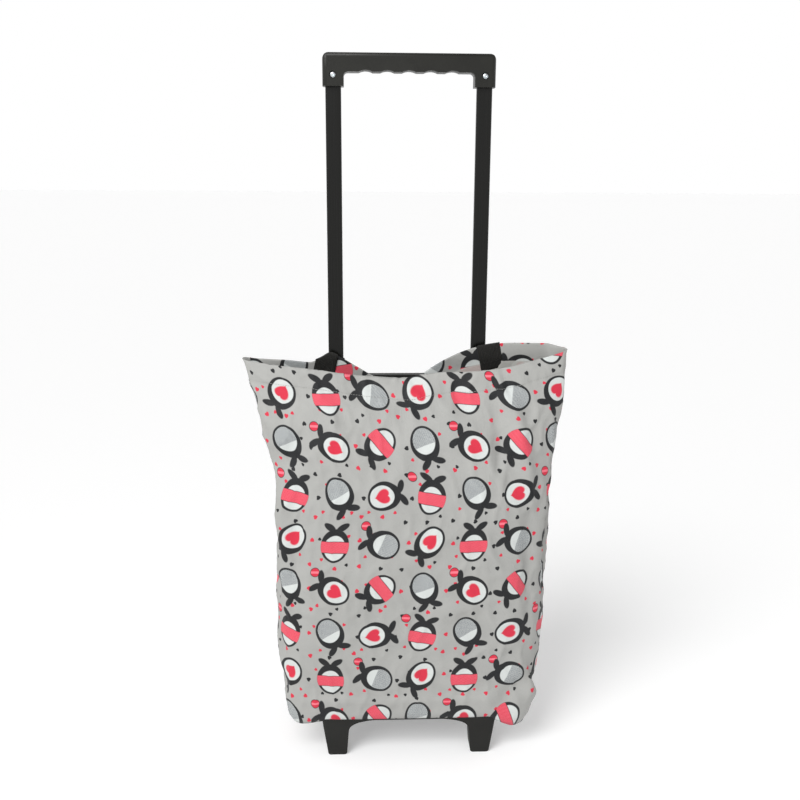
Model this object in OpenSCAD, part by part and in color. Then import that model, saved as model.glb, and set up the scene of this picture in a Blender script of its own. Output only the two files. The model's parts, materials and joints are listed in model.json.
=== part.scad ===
// Folding shopping trolley: a soft shopping bag on a two-wheeled frame with a telescopic handle.
// The front of the bag faces -Y, the tubes and wheels stand behind it, and the floor is z = 0.

/* [Overall] */
// Height to the top of the extended handle
total_h = 920; // [880:5:960]
// Distance between the centres of the two tubes
tube_gap = 194; // [180:2:200]
// How far the handle slides down
handle_travel = 340; // [260:5:340]

/* [Tubes] */
// Width of an inner tube, across the trolley
inner_w = 20.2; // [18:0.2:20.2]
// Depth of an inner tube, front to back
inner_d = 10.2; // [9:0.2:10.2]
// Wall thickness of every tube
tube_wall = 1; // [0.8:0.1:1.2]
// Height of the top of the outer tubes
outer_top = 506; // [495:1:507]

/* [Handle] */
// Depth of the handle grip, front to back
grip_d = 22; // [20:1:26]
// Height of the grip's bar
bar_h = 23.5; // [20:0.5:26]
// Height of the sockets at the grip's ends
socket_h = 41; // [38:1:46]
// Number of finger scallops under the bar
scallops = 5; // [3:1:5]

/* [Wheels and base] */
// Diameter of the wheels
wheel_dia = 55; // [50:1:56]
// Width of a wheel
wheel_w = 20; // [16:1:22]
// Width of the folding foot plate
plate_w = 236; // [228:2:240]
// Height of the top of the foot plate above the floor
deck_h = 55; // [54:0.5:57]

/* [Bag] */
// Half width of the bag across its mouth
mouth_half_w = 217; // [205:1:225]
// Half depth of the bag at its base
base_half_d = 59; // [56:0.5:60]
// Thickness of the closed solids that stand for the cloth
cloth = 1.6; // [1.2:0.2:2]

/* [Hidden] */

$fn = 48;
fit = 0.05; // running clearance on a radius

tube_x = tube_gap / 2;
tube_y = 46.75; // puts the trolley's own middle, front to back, at y = 0
wheel_r = wheel_dia / 2;
axle_y = tube_y + 14;
axle_r = 3;
tyre_in = 8; // tyre's thickness on the radius

// Tubes
inner_r = 3.6;
outer_gap = 0.7; // between an inner tube and the wall of its outer tube
outer_w = inner_w + 2 * (outer_gap + tube_wall);
outer_d = inner_d + 2 * (outer_gap + tube_wall);
outer_r = inner_r + outer_gap + tube_wall;
inner_bottom = 385;
outer_bottom = 24;
detent_z = 425;
detent_r = 3;

// Plastic pieces round the outer tubes
collar_w = outer_w + 8;
collar_d = 20;
collar_r = 6;
bridge_low = outer_top - 26;

// Short screws into the outer tubes
screw_r = 1.2;
screw_head_r = 3;
pilot_r = 1.25;
bridge_screw_z = outer_top - 13;
chassis_screw_z = 66;

// Handle
grip_bottom = total_h - socket_h;
socket_half = 13.5;
grip_half_w = tube_x + socket_half;
socket_depth = 24;
rivet_z = grip_bottom + 13.5;
rivet_r = 2;
rivet_head_r = 3.6;
rivet_head_t = 1.2;
rivet_recess_r = 5;
rivet_recess_t = 1.4;
scallop_pitch = 27.8;
scallop_r = 19.5;
scallop_rise = 2.2;

// Chassis and hinge
chassis_front = tube_y - 10;
chassis_top = 80;
hinge_y = tube_y - 24;
hinge_z = deck_h - 7;
hinge_r = 2.5;
eye_r = 6;
boss_end = 113;
wheel_in = 114.5;

// Foot plate
plate_front = tube_y - 126;
deck_t = 3.5;
leg_top_half = plate_w / 2;
leg_outer = leg_top_half - 8;
leg_inner = leg_outer - 26;
leg_d = 28;
toe_r = 4;
rail_t = 3;
ear_mid = 64;
ear_w = 16;
knuckle_in = ear_mid + ear_w / 2 + 0.4;
knuckle_w = 14;
board_t = 2.5;
rivet_places = [for (sx = [-1, 1], y = [-60, -104]) [sx * 68, tube_y + y]];

// Bag
bag_back_y = tube_y - 11;
bag_z0 = deck_h + 0.3;
corner_z = 536;
front_dip = 27;
back_dip = 46;
loop_rim_z = 532;
loop_low = 510;
loop_high = 537;
loop_t = 1.4;
loop_w = 30;

// ---------- Shapes that repeat ----------

// Rectangle with true arcs at its corners
module rounded(w, d, r) {
    square([w - 2 * r, d], center = true);
    square([w, d - 2 * r], center = true);
    for (sx = [-1, 1], sy = [-1, 1])
        translate([sx * (w / 2 - r), sy * (d / 2 - r)]) circle(r);
}

// Upright oval bar from z0 to z1 about the tube's line on one side
module oval(side, w, d, r, z0, z1) {
    translate([side * tube_x, tube_y, z0]) linear_extrude(z1 - z0) rounded(w, d, r);
}

module oval_tube(side, w, d, r, wall, z0, z1) {
    difference() {
        oval(side, w, d, r, z0, z1);
        oval(side, w - 2 * wall, d - 2 * wall, r - wall, z0 - 1, z1 + 1);
    }
}

// Cylinder along X, from x0 to x1
module across(r, x0, x1, y, z) {
    translate([x0, y, z]) rotate([0, 90, 0]) cylinder(r = r, h = x1 - x0);
}

// Cylinder along Y, from y0 to y1
module along(r, x, y0, y1, z) {
    translate([x, y0, z]) rotate([-90, 0, 0]) cylinder(r = r, h = y1 - y0);
}

// Block from one corner to the other
module block(a, b) {
    translate(a) cube(b - a);
}

// An outline in X and Z, standing from y0 back to y1
module upright(y0, y1) {
    translate([0, y1, 0]) rotate([90, 0, 0]) linear_extrude(y1 - y0) children();
}

// ---------- Handle ----------

// The hand's gap, with its rounded corners and the finger scallops
module grip_gap() {
    half = grip_half_w - 2 * socket_half;
    under = total_h - bar_h;
    translate([-half, grip_bottom - 10]) square([2 * half, under - 5 - grip_bottom + 10]);
    translate([-half + 5, grip_bottom]) square([2 * half - 10, under - grip_bottom]);
    for (s = [-1, 1]) translate([s * (half - 5), under - 5]) circle(5);
    for (i = [0 : scallops - 1])
        translate([(i - (scallops - 1) / 2) * scallop_pitch, under + scallop_rise - scallop_r])
            circle(scallop_r);
}

module grip_body() {
    intersection() {
        upright(tube_y - grip_d / 2, tube_y + grip_d / 2) grip_outline();
        // Rounded along the top edges
        translate([-grip_half_w - 1, tube_y, 0]) rotate([90, 0, 90]) linear_extrude(2 * grip_half_w + 2)
            translate([0, total_h - 50]) rounded(grip_d, 100, 5);
        // Rounded along the upright edges of the ends
        translate([0, tube_y, grip_bottom - 1]) linear_extrude(socket_h + 2)
            rounded(2 * grip_half_w, grip_d, 6);
    }
}

// The grip's front view, with arcs at its outer top corners
module grip_outline() {
    r = 9;
    difference() {
        union() {
            translate([-grip_half_w, grip_bottom]) square([2 * grip_half_w, socket_h - r]);
            translate([-grip_half_w + r, grip_bottom]) square([2 * (grip_half_w - r), socket_h]);
            for (s = [-1, 1]) translate([s * (grip_half_w - r), total_h - r]) circle(r);
        }
        grip_gap();
    }
}

module handle_grip() {
    color([0.2, 0.2, 0.19]) difference() {
        grip_body();
        for (side = [-1, 1]) {
            oval(side, inner_w + 2 * fit, inner_d + 2 * fit, inner_r + fit,
                 grip_bottom - 1, grip_bottom + socket_depth);
            along(rivet_r + fit, side * tube_x, tube_y - grip_d, tube_y + grip_d, rivet_z);
            // Recesses for the rivet heads
            for (face = [-1, 1]) {
                y = tube_y + face * grip_d / 2;
                along(rivet_recess_r, side * tube_x, y - rivet_recess_t, y + rivet_recess_t, rivet_z);
            }
        }
        // Long shallow recess in the back of the bar
        block([-grip_half_w + 34, tube_y + grip_d / 2 - 2, total_h - bar_h + 8],
              [grip_half_w - 34, tube_y + grip_d / 2 + 1, total_h - 6]);
    }
}

module handle_rivets() {
    half_t = rivet_head_t / 2;
    floor_y = grip_d / 2 - rivet_recess_t;
    head_y = floor_y + half_t + fit;
    color([0.82, 0.84, 0.85]) for (side = [-1, 1]) {
        along(rivet_r, side * tube_x, tube_y - floor_y - half_t, tube_y + floor_y + half_t, rivet_z);
        for (y = [tube_y - head_y, tube_y + head_y])
            along(rivet_head_r, side * tube_x, y - half_t, y + half_t, rivet_z);
    }
}

module inner_tube(side) {
    color([0.09, 0.09, 0.09]) difference() {
        oval_tube(side, inner_w, inner_d, inner_r, tube_wall, inner_bottom, grip_bottom + socket_depth - 1);
        along(rivet_r + fit, side * tube_x, tube_y - inner_d, tube_y + inner_d, rivet_z);
        along(detent_r + 0.2, side * tube_x, tube_y, tube_y + inner_d, detent_z);
    }
}

// Plug pressed into the foot of an inner tube, with a glide collar below it
module tube_plug(side) {
    color([0.16, 0.16, 0.16]) difference() {
        union() {
            oval(side, inner_w - 2 * (tube_wall + fit), inner_d - 2 * (tube_wall + fit), inner_r - tube_wall,
                 inner_bottom - 1, inner_bottom + 12);
            oval(side, inner_w + 1.1, inner_d + 1.1, inner_r + 0.5, inner_bottom - 6, inner_bottom - fit);
        }
        oval(side, 10, 3.4, 1.5, inner_bottom - 7, inner_bottom + 13);
    }
}

// V-shaped leaf spring whose domed button stands in the tubes' holes
module detent_spring(side) {
    leaf = 0.8;
    half_d = inner_d / 2 - tube_wall - 0.15;
    color([0.7, 0.7, 0.68]) translate([side * tube_x, tube_y, 0]) {
        translate([-3.5, 0, 0]) rotate([90, 0, 90]) linear_extrude(7) {
            for (s = [-1, 1]) translate([s > 0 ? half_d - leaf : -half_d, detent_z - 20]) square([leaf, 26]);
            translate([0, detent_z - 20]) difference() {
                circle(half_d);
                circle(half_d - leaf);
                translate([-10, 0]) square([20, 10]);
            }
        }
        rotate([-90, 0, 0]) translate([0, -detent_z, half_d - leaf / 2]) cylinder(r = detent_r, h = 3.2);
        rotate([-90, 0, 0]) translate([0, -detent_z, half_d + 2.7])
            cylinder(r1 = detent_r, r2 = detent_r - 1, h = 1);
    }
}

// ---------- Outer tubes and bridge ----------

module outer_tube(side) {
    color([0.1, 0.1, 0.1]) difference() {
        oval_tube(side, outer_w, outer_d, outer_r, tube_wall, outer_bottom, outer_top);
        for (z = [detent_z, detent_z - handle_travel])
            along(detent_r + 0.3, side * tube_x, tube_y, tube_y + outer_d, z);
        // Pilot holes for the screws in the bridge and the chassis
        along(pilot_r, side * tube_x, tube_y - outer_d, tube_y, bridge_screw_z);
        along(pilot_r, side * tube_x, tube_y, tube_y + outer_d, chassis_screw_z);
    }
}

module guide_bush(side) {
    color([0.16, 0.16, 0.16]) difference() {
        union() {
            oval(side, outer_w - 2 * (tube_wall + fit), outer_d - 2 * (tube_wall + fit), outer_r - tube_wall,
                 outer_top - 20, outer_top + 1);
            oval(side, outer_w + 4, outer_d + 4, outer_r + 1.5, outer_top + fit, outer_top + 2.5);
        }
        oval(side, inner_w + 0.4, inner_d + 0.4, inner_r + 0.2, outer_top - 21, outer_top + 4);
    }
}

// Cross-piece that ties the tops of the outer tubes together
module tube_bridge() {
    bar_half = 7;
    recess_x = tube_x - 24;
    color([0.17, 0.17, 0.17]) difference() {
        union() {
            for (side = [-1, 1]) oval(side, collar_w, collar_d, collar_r, bridge_low, outer_top);
            block([-tube_x, tube_y - bar_half, bridge_low + 4], [tube_x, tube_y + bar_half, outer_top - 2]);
            across(bar_half, -tube_x, tube_x, tube_y, bridge_low + 4);
        }
        for (side = [-1, 1]) {
            oval(side, outer_w + 2 * fit, outer_d + 2 * fit, outer_r + fit, bridge_low - 10, outer_top + 1);
            screw_hole(side, -1, bridge_screw_z);
        }
        // Shallow recess along each face of the bar
        for (y = [tube_y - bar_half, tube_y + bar_half])
            block([-recess_x, y - 1.5, bridge_low + 8], [recess_x, y + 1.5, outer_top - 7]);
    }
}

// Clearance for a screw and its head, from the front (face -1) or the back (face 1) of a collar
module screw_hole(side, face, z) {
    mirror([0, face < 0 ? 0 : 1, 0]) translate([0, face < 0 ? tube_y : -tube_y, 0]) {
        along(screw_r + 2 * fit, side * tube_x, -collar_d / 2 - 1, 0, z);
        along(screw_head_r + 2 * fit, side * tube_x, -collar_d / 2 - 1, -collar_d / 2 + 1.4, z);
    }
}

// Short screw that ends in the wall of the outer tube
module screw(side, face, z) {
    mirror([0, face < 0 ? 0 : 1, 0]) translate([0, face < 0 ? tube_y : -tube_y, 0]) {
        along(screw_r, side * tube_x, -collar_d / 2 + 1, -outer_d / 2 + tube_wall - 0.1, z);
        along(screw_head_r, side * tube_x, -collar_d / 2 + 0.1, -collar_d / 2 + 1.35, z);
    }
}

module bridge_screws() {
    color([0.6, 0.6, 0.6]) for (side = [-1, 1]) screw(side, -1, bridge_screw_z);
}

// ---------- Chassis and wheels ----------

module chassis() {
    color([0.17, 0.17, 0.17]) difference() {
        union() {
            for (side = [-1, 1]) {
                oval(side, collar_w, collar_d, collar_r, 16, chassis_top);
                block([side > 0 ? tube_x - 15 : -boss_end, tube_y + 4, 17],
                      [side > 0 ? boss_end : -tube_x + 15, axle_y, 38]);
            }
            block([-tube_x, chassis_front, 24], [tube_x, tube_y + 8, 60]);
            across(10.5, -boss_end, boss_end, axle_y, wheel_r);
            for (side = [-1, 1]) hinge_ear(side);
        }
        across(axle_r + fit, -boss_end - 1, boss_end + 1, axle_y, wheel_r);
        for (side = [-1, 1]) {
            oval(side, outer_w + 2 * fit, outer_d + 2 * fit, outer_r + fit,
                 outer_bottom - 0.1, chassis_top + 1);
            screw_hole(side, 1, chassis_screw_z);
            // Bore for the hinge pin
            across(hinge_r + fit, side > 0 ? 50 : -82, side > 0 ? 82 : -50, hinge_y, hinge_z);
        }
        // Cored back of the cross beam
        for (s = [-1, 1]) block([s > 0 ? 8 : -74, tube_y + 2, 42], [s > 0 ? 74 : -8, tube_y + 9, 56]);
    }
}

// Ear that carries one hinge pin, in front of the cross beam
module hinge_ear(side) {
    x0 = side * ear_mid - ear_w / 2;
    across(eye_r, x0, x0 + ear_w, hinge_y, hinge_z);
    block([x0, hinge_y, hinge_z - eye_r], [x0 + ear_w, chassis_front + 1, hinge_z + 3]);
}

module chassis_screws() {
    color([0.6, 0.6, 0.6]) for (side = [-1, 1]) screw(side, 1, chassis_screw_z);
}

module axle() {
    half = wheel_in + wheel_w + 3;
    color([0.75, 0.76, 0.77]) across(axle_r, -half, half, axle_y, wheel_r);
}

module axle_washers() {
    color([0.7, 0.7, 0.7]) for (side = [-1, 1]) difference() {
        x0 = boss_end + 0.2;
        x1 = wheel_in - 0.2;
        across(7, side > 0 ? x0 : -x1, side > 0 ? x1 : -x0, axle_y, wheel_r);
        across(axle_r + fit, -wheel_in - 1, wheel_in + 1, axle_y, wheel_r);
    }
}

// Domed push-on caps that hold the wheels on the axle
module axle_caps() {
    x0 = wheel_in + wheel_w + 0.3;
    color([0.78, 0.79, 0.8]) for (side = [-1, 1])
        translate([0, axle_y, wheel_r]) rotate([0, side * 90, 0]) difference() {
            union() {
                translate([0, 0, x0]) cylinder(r = 6, h = 1.2);
                translate([0, 0, x0 + 1.2]) cylinder(r1 = 5, r2 = 3.6, h = 2.6);
            }
            translate([0, 0, x0 - 1]) cylinder(r = axle_r, h = 3.7);
        }
}

// Wheel parts are turned about the axle's line, outwards along +X of their own side
module on_axle(side) {
    translate([0, axle_y, wheel_r]) rotate([0, side * 90, 0]) translate([0, 0, wheel_in]) children();
}

module wheel_hub(side) {
    seat = wheel_r - tyre_in;
    color([0.24, 0.24, 0.24]) on_axle(side) difference() {
        union() {
            difference() {
                translate([0, 0, 1.5]) cylinder(r = seat, h = wheel_w - 3);
                for (z = [0.5, wheel_w - 6.5]) translate([0, 0, z]) difference() {
                    cylinder(r = seat - 2.5, h = 6);
                    translate([0, 0, -1]) cylinder(r = 7, h = 8);
                }
            }
            cylinder(r = 7, h = wheel_w);
            for (i = [0 : 5]) rotate([0, 0, i * 60]) translate([6, -1, 2.5]) cube([seat - 8, 2, wheel_w - 5]);
        }
        translate([0, 0, -1]) cylinder(r = axle_r + fit, h = wheel_w + 2);
    }
}

module tyre(side) {
    seat = wheel_r - tyre_in;
    half = wheel_w / 2;
    color([0.13, 0.13, 0.13]) on_axle(side) translate([0, 0, half]) rotate_extrude($fn = 96) difference() {
        union() {
            translate([seat + 0.05, -half + 1]) square([tyre_in - 3 - 0.05, wheel_w - 2]);
            translate([seat + 0.05, -half + 4]) square([tyre_in - 0.05, wheel_w - 8]);
            for (s = [-1, 1]) translate([wheel_r - 3, s * (half - 4)]) circle(3);
        }
        for (s = [-1, 1]) translate([wheel_r, s * 3.5]) circle(0.8);
    }
}

// ---------- Folding foot plate ----------

module hinge_pin(side) {
    x0 = 55;
    x1 = knuckle_in + knuckle_w + 1;
    color([0.72, 0.73, 0.74]) {
        across(hinge_r, side > 0 ? x0 : -x1, side > 0 ? x1 : -x0, hinge_y, hinge_z);
        across(4, side > 0 ? x0 - 1.5 : -x0 - 0.5, side > 0 ? x0 + 0.5 : -x0 + 1.5, hinge_y, hinge_z);
    }
}

// Front view of the legs and of the arched apron between them, for x above 0
module leg_outline() {
    polygon(concat(
        [[leg_top_half, deck_h - 1], [leg_outer + 3.4, 26]],
        [for (a = [0 : 15 : 90]) [leg_outer - toe_r + toe_r * cos(a), toe_r - toe_r * sin(a)]],
        [for (a = [90 : 15 : 180]) [leg_inner + toe_r + toe_r * cos(a), toe_r - toe_r * sin(a)]],
        [[leg_inner - 2, 32]],
        arch_edge(),
        [[0, deck_h - 2.2], [0, deck_h - 1]]
    ));
}

// The apron's lower edge: a tight quarter round at the leg that eases into a long flat rise
function arch_edge() = [for (i = [1 : 18])
    let (u = pow(i / 18, 1.6), x = (leg_inner - 2) * (1 - u))
    [x, 32 + (deck_h - 2.2 - 32) * pow(1 - pow(1 - u, 3.2), 0.34)]];

module leg_block(side) {
    intersection() {
        upright(plate_front, plate_front + leg_d) mirror([side > 0 ? 0 : 1, 0]) leg_outline();
        block([side > 0 ? leg_inner - 4 : -leg_top_half, plate_front, 0],
              [side > 0 ? leg_top_half : -leg_inner + 4, plate_front + leg_d, deck_h]);
        // Rounded upright edges
        translate([side * (leg_inner - 4 + leg_top_half) / 2, plate_front + leg_d / 2, -1])
            linear_extrude(deck_h + 2) rounded(leg_top_half - leg_inner + 4, leg_d, 5);
    }
}

module foot_plate() {
    pocket_in = leg_inner + 3;
    color([0.18, 0.18, 0.18]) difference() {
        union() {
            // Deck
            translate([0, (plate_front + hinge_y - 8) / 2, deck_h - deck_t]) linear_extrude(deck_t)
                rounded(plate_w, hinge_y - 8 - plate_front, 5);
            for (side = [-1, 1]) {
                leg_block(side);
                // Rails under the deck, from the legs back to the hinge
                for (x = [knuckle_in + knuckle_w - rail_t + 0.6, leg_outer - 1]) block(
                    [side > 0 ? x : -x - rail_t, plate_front + leg_d - 1, deck_h - 16],
                    [side > 0 ? x + rail_t : -x, hinge_y - 8.5, deck_h - 1]);
                knuckle(side);
            }
            apron();
            // Cross rib
            block([-leg_inner, plate_front + 40, deck_h - 9],
                  [leg_inner, plate_front + 40 + rail_t, deck_h - 1]);
        }
        for (side = [-1, 1]) {
            // Hollow of the leg, open at its back
            block([side > 0 ? pocket_in : -leg_outer + 3, plate_front + 3.5, 4],
                  [side > 0 ? leg_outer - 3 : -pocket_in, plate_front + leg_d + 1, deck_h - 7]);
            across(hinge_r + fit, side > 0 ? knuckle_in - 1 : -100, side > 0 ? 100 : -knuckle_in + 1,
                   hinge_y, hinge_z);
        }
        for (p = rivet_places) translate([p[0], p[1], deck_h - 10]) cylinder(r = rivet_r + fit, h = 12);
    }
}

module apron() {
    upright(plate_front, plate_front + 3.5) intersection() {
        union() {
            leg_outline();
            mirror([1, 0]) leg_outline();
        }
        translate([-leg_inner - 6, 0]) square([2 * leg_inner + 12, deck_h]);
    }
}

module knuckle(side) {
    x0 = side > 0 ? knuckle_in : -knuckle_in - knuckle_w;
    across(eye_r, x0, x0 + knuckle_w, hinge_y, hinge_z);
    block([x0, hinge_y - 14, hinge_z - 2], [x0 + knuckle_w, hinge_y, deck_h - 1]);
}

// Stiffening board that lies in the bag, over the deck
module base_board() {
    z0 = bag_z0 + cloth + 0.3;
    color([0.3, 0.3, 0.3]) difference() {
        translate([0, (plate_front + 6 + hinge_y - 8) / 2, z0]) linear_extrude(board_t)
            rounded(plate_w - 8, hinge_y - 14 - plate_front, 6);
        for (p = rivet_places) translate([p[0], p[1], z0 - 1]) cylinder(r = rivet_r + fit, h = board_t + 2);
    }
}

module base_rivets() {
    top = bag_z0 + cloth + 0.35 + board_t;
    color([0.78, 0.79, 0.8]) for (p = rivet_places) translate([p[0], p[1], 0]) {
        translate([0, 0, deck_h - deck_t - 1]) cylinder(r = rivet_r, h = top + 0.6 - deck_h + deck_t + 1);
        translate([0, 0, top]) cylinder(r = 4, h = 1.2);
        translate([0, 0, deck_h - deck_t - 1.25]) cylinder(r = 4, h = 1.2);
    }
}

// ---------- Bag ----------

// Everything about the bag's wall follows from v, 0 at the base and 1 at the rim
function half_w(v) = lookup(v, [
    [0, 156], [0.04, 171], [0.3, 181], [0.6, 185], [0.78, 197], [1, mouth_half_w]
]);
function half_d(v) = lookup(v, [[0, base_half_d], [0.35, base_half_d + 3], [0.7, 53], [1, 31]]);
function roundness(v, back) = back
    ? lookup(v, [[0, 6], [0.5, 5], [1, 3]])
    : lookup(v, [[0, 6], [0.5, 4.2], [0.8, 2.5], [1, 1.6]]);

// Distance from the middle of a superellipse at angle a, for half axes of 1
function superellipse(a, n) = pow(pow(abs(cos(a)), n) + pow(abs(sin(a)), n), -1 / n);

// Height of the rim: it hangs from the loops at the back and droops at the front
function rim_z(x, back) = back
    ? (abs(x) < tube_x
        ? loop_rim_z - back_dip * (1 - pow(abs(x) / tube_x, 2))
        : loop_rim_z + (corner_z - loop_rim_z) * (abs(x) - tube_x) / (mouth_half_w - tube_x))
    : corner_z - front_dip * (1 - pow(abs(x) / mouth_half_w, 2));

// Point of the wall at angle a round the bag and height share v, drawn in by t
function wall_point(a, v, t) =
    let (back = sin(a) > 0,
         s = superellipse(a, roundness(v, back)),
         x = (half_w(v) - t) * s * cos(a),
         y = bag_back_y - half_d(v) + (half_d(v) - t) * s * sin(a),
         top = rim_z(mouth_half_w * superellipse(a, roundness(1, back)) * cos(a), back))
    [x, y, bag_z0 + v * (top - bag_z0)];

// Closed panel of the wall from angle a0 to a1, in na by nv cells
module wall_panel(a0, a1, na, nv) {
    cols = na + 1;
    rows = nv + 1;
    grid = [for (t = [0, cloth], j = [0 : nv], i = [0 : na]) wall_point(a0 + (a1 - a0) * i / na, j / nv, t)];
    function at(layer, j, i) = layer * rows * cols + j * cols + i;
    outside = [for (j = [0 : nv - 1], i = [0 : na - 1])
        [at(0, j, i), at(0, j + 1, i), at(0, j + 1, i + 1), at(0, j, i + 1)]];
    inside = [for (j = [0 : nv - 1], i = [0 : na - 1])
        [at(1, j, i), at(1, j, i + 1), at(1, j + 1, i + 1), at(1, j + 1, i)]];
    ends = [for (j = [0 : nv - 1]) each [
        [at(0, j, 0), at(1, j, 0), at(1, j + 1, 0), at(0, j + 1, 0)],
        [at(0, j, na), at(0, j + 1, na), at(1, j + 1, na), at(1, j, na)]]];
    edges = [for (i = [0 : na - 1]) each [
        [at(0, 0, i), at(0, 0, i + 1), at(1, 0, i + 1), at(1, 0, i)],
        [at(0, nv, i), at(1, nv, i), at(1, nv, i + 1), at(0, nv, i + 1)]]];
    color([0.74, 0.74, 0.72]) polyhedron(grid, concat(
        [for (f = concat(outside, inside, ends, edges)) each [[f[0], f[1], f[2]], [f[0], f[2], f[3]]]]));
}

side_span = 38; // half of the angle that a side panel covers
seam = 0.4; // angle left open on each side of a seam

module side_panel(mid) {
    wall_panel(mid - side_span + seam, mid + side_span - seam, 8, 14);
}

// The base panel is riveted between the deck and the board
module bag_bottom() {
    inset = cloth + 1;
    outline = [for (a = [0 : 6 : 354]) let (p = wall_point(a, 0, inset)) [p[0], min(p[1], tube_y - 16)]];
    color([0.74, 0.74, 0.72]) difference() {
        translate([0, 0, bag_z0 - 0.1]) linear_extrude(cloth) polygon(outline);
        for (p = rivet_places) translate([p[0], p[1], deck_h - 1]) cylinder(r = rivet_r + fit, h = cloth + 2);
        // Slots that clear the chassis's ears as the plate folds
        for (x = [-ear_mid, ear_mid])
            block([x - ear_w / 2 - 2, hinge_y - 5, deck_h - 1], [x + ear_w / 2 + 2, tube_y, deck_h + 4]);
    }
}

// Webbing loop: a patch sewn inside the rim, carried over it and round the inner tube
module tube_loop(side) {
    x = side * tube_x;
    gap = 0.6;
    ring_w = inner_w + 2 * (gap + loop_t);
    ring_d = inner_d + 2 * (gap + loop_t);
    patch_y = bag_back_y - cloth - 3.8;
    color([0.1, 0.1, 0.1]) {
        oval_tube(side, ring_w, ring_d, inner_r + gap + loop_t, loop_t, loop_low, loop_high);
        block([x - loop_w / 2, patch_y, loop_rim_z + 3],
              [x + loop_w / 2, tube_y - inner_d / 2 - gap - 0.1, loop_rim_z + 3 + loop_t]);
        block([x - loop_w / 2, patch_y, loop_low - 6],
              [x + loop_w / 2, patch_y + loop_t, loop_rim_z + 4]);
    }
}

// ---------- Assembly ----------

handle_grip();
handle_rivets();
inner_tube(-1);  // inner_tube_left
inner_tube(1);  // inner_tube_right
tube_plug(-1);  // tube_plug_left
tube_plug(1);  // tube_plug_right
detent_spring(-1);  // detent_spring_left
detent_spring(1);  // detent_spring_right
outer_tube(-1);  // outer_tube_left
outer_tube(1);  // outer_tube_right
guide_bush(-1);  // guide_bush_left
guide_bush(1);  // guide_bush_right
tube_bridge();
bridge_screws();
chassis();
chassis_screws();
axle();
axle_washers();
axle_caps();
wheel_hub(-1);  // wheel_hub_left
wheel_hub(1);  // wheel_hub_right
tyre(-1);  // tyre_left
tyre(1);  // tyre_right
hinge_pin(-1);  // hinge_pin_left
hinge_pin(1);  // hinge_pin_right
foot_plate();
base_board();
base_rivets();
bag_bottom();
wall_panel(180 + side_span + seam, 360 - side_span - seam, 16, 16);  // bag_front
wall_panel(side_span + seam, 180 - side_span - seam, 20, 12);  // bag_back
side_panel(180);  // bag_side_left
side_panel(0);  // bag_side_right
tube_loop(-1);  // tube_loop_left
tube_loop(1);  // tube_loop_right
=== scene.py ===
"""Folding shopping trolley: the looks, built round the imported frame.

Metres, +Z up. The front of the bag faces -Y, the tubes and wheels stand behind it.
"""
import json
import math
import random

import bpy
import numpy as np
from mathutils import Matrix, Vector


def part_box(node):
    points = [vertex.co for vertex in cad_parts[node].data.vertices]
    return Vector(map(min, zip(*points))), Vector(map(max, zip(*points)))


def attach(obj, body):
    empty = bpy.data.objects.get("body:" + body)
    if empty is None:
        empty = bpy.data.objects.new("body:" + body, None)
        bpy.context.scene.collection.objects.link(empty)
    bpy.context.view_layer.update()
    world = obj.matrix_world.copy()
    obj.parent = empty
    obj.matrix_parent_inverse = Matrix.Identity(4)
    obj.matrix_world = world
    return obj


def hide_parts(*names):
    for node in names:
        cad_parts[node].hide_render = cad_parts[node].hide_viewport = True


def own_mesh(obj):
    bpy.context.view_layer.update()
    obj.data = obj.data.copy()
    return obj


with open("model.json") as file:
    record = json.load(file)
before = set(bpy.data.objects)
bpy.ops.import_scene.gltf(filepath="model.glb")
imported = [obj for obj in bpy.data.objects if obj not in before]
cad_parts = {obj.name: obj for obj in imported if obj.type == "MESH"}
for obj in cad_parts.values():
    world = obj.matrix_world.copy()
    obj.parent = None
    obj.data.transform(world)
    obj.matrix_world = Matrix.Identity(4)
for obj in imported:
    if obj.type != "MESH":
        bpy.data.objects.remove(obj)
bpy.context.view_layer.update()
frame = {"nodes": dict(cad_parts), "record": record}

MM = 0.001
NODES = frame["nodes"]


# ---------- Sizes that come from the frame ----------

def box(node):
    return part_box(node)


TUBE_X = (box("inner_tube_right")[0].x + box("inner_tube_right")[1].x) / 2
TUBE_Y = (box("inner_tube_right")[0].y + box("inner_tube_right")[1].y) / 2
BACK_Y = box("bag_back")[1].y - 0.4 * MM
BASE_Z = box("bag_front")[0].z
FRONT_Y = box("bag_front")[0].y


# ---------- Short ways ----------

def adjust(thing, **settings):
    """Sets several properties of one thing."""
    for key, value in settings.items():
        setattr(thing, key, value)
    return thing


def put_in_scene(name, data):
    made = bpy.data.objects.new(name, data)
    bpy.context.scene.collection.objects.link(made)
    return made


def unit(vectors):
    """The same directions, at length 1."""
    return vectors / (np.linalg.norm(vectors, axis=-1, keepdims=True) + 1e-12)


# ---------- Shader nodes ----------

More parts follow.
